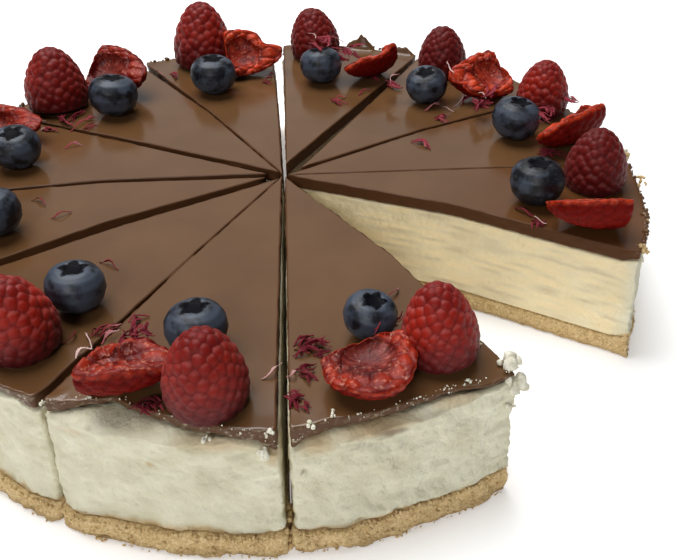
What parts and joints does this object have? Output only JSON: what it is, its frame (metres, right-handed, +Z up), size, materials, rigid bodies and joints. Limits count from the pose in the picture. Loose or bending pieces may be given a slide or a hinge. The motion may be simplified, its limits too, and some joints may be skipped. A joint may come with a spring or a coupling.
{
  "type": "no-bake cheesecake",
  "caption": "Round no-bake cheesecake cut into slices, with a slice gone: crumb crust, cream filling, chocolate glaze and berries.",
  "frame": {"origin": "middle of the cake's underside, on the surface it stands on", "axes": "+Z up; -Y towards the viewer; the open slot of the slice that is gone lies between +X and -Y, 30 to 60 degrees from -Y"},
  "size_m": [0.2435, 0.2461, 0.0664],
  "materials": {
    "crust": "matte",
    "filling": "satin",
    "glaze": "satin",
    "blueberry": "satin",
    "raspberry": "satin"
  },
  "bodies": {
    "root": {"blueberry_01": "blueberry", "blueberry_02": "blueberry", "blueberry_03": "blueberry", "blueberry_04": "blueberry", "blueberry_05": "blueberry", "blueberry_06": "blueberry", "blueberry_07": "blueberry", "blueberry_08": "blueberry", "blueberry_09": "blueberry", "blueberry_10": "blueberry", "blueberry_11": "blueberry", "crust_01": "crust", "crust_02": "crust", "crust_03": "crust", "crust_04": "crust", "crust_05": "crust", "crust_06": "crust", "crust_07": "crust", "crust_08": "crust", "crust_09": "crust", "crust_10": "crust", "crust_11": "crust", "filling_01": "filling", "filling_02": "filling", "filling_03": "filling", "filling_04": "filling", "filling_05": "filling", "filling_06": "filling", "filling_07": "filling", "filling_08": "filling", "filling_09": "filling", "filling_10": "filling", "filling_11": "filling", "glaze_01": "glaze", "glaze_02": "glaze", "glaze_03": "glaze", "glaze_04": "glaze", "glaze_05": "glaze", "glaze_06": "glaze", "glaze_07": "glaze", "glaze_08": "glaze", "glaze_09": "glaze", "glaze_10": "glaze", "glaze_11": "glaze", "half_raspberry_01": "raspberry", "half_raspberry_02": "raspberry", "half_raspberry_03": "raspberry", "half_raspberry_04": "raspberry", "half_raspberry_06": "raspberry", "raspberry_01": "raspberry", "raspberry_02": "raspberry", "raspberry_03": "raspberry", "raspberry_04": "raspberry", "raspberry_05": "raspberry", "raspberry_06": "raspberry", "raspberry_07": "raspberry", "raspberry_08": "raspberry", "raspberry_09": "raspberry", "raspberry_10": "raspberry", "raspberry_11": "raspberry"}
  },
  "joints": []
}
